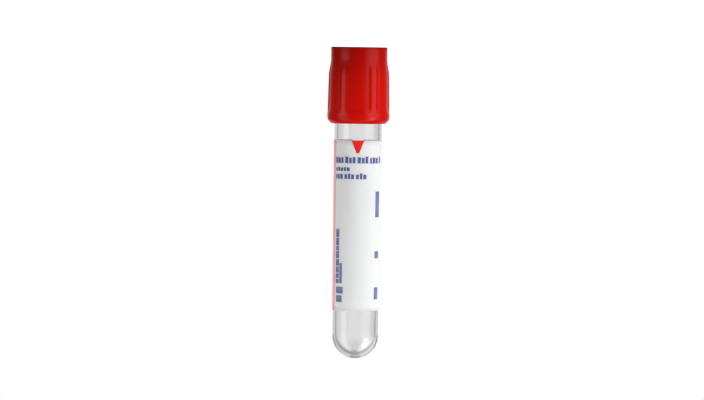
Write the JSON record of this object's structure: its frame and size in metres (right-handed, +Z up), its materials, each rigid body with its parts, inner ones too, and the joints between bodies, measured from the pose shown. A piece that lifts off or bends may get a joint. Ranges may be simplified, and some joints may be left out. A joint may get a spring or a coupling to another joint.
{
  "type": "blood collection tube",
  "caption": "Clear round-bottomed sample tube with a wrapped paper label, closed by a rubber stopper in a ribbed red safety shield, standing head down on its closure.",
  "frame": {"origin": "on the ground under the middle of the closure's flat top, on which the tube stands head down", "axes": "+Z up, along the tube's axis from its closure to its round bottom, -Y out through the middle of the label, +X to the right of someone who faces the label"},
  "size_m": [0.0166, 0.0166, 0.0833],
  "materials": {
    "clear_pet": "gloss",
    "butyl_rubber": "matte",
    "red_polypropylene": "satin",
    "label_paper": "matte"
  },
  "bodies": {
    "closure": {"shield": "red_polypropylene", "stopper": "butyl_rubber"},
    "tube": {"tube": "clear_pet", "label": "label_paper"}
  },
  "joints": [
    {"name": "closure_pull", "type": "slide", "parent": "closure", "child": "tube", "axis": [0, 0, 1], "range_m": [0, 0.03]}
  ]
}
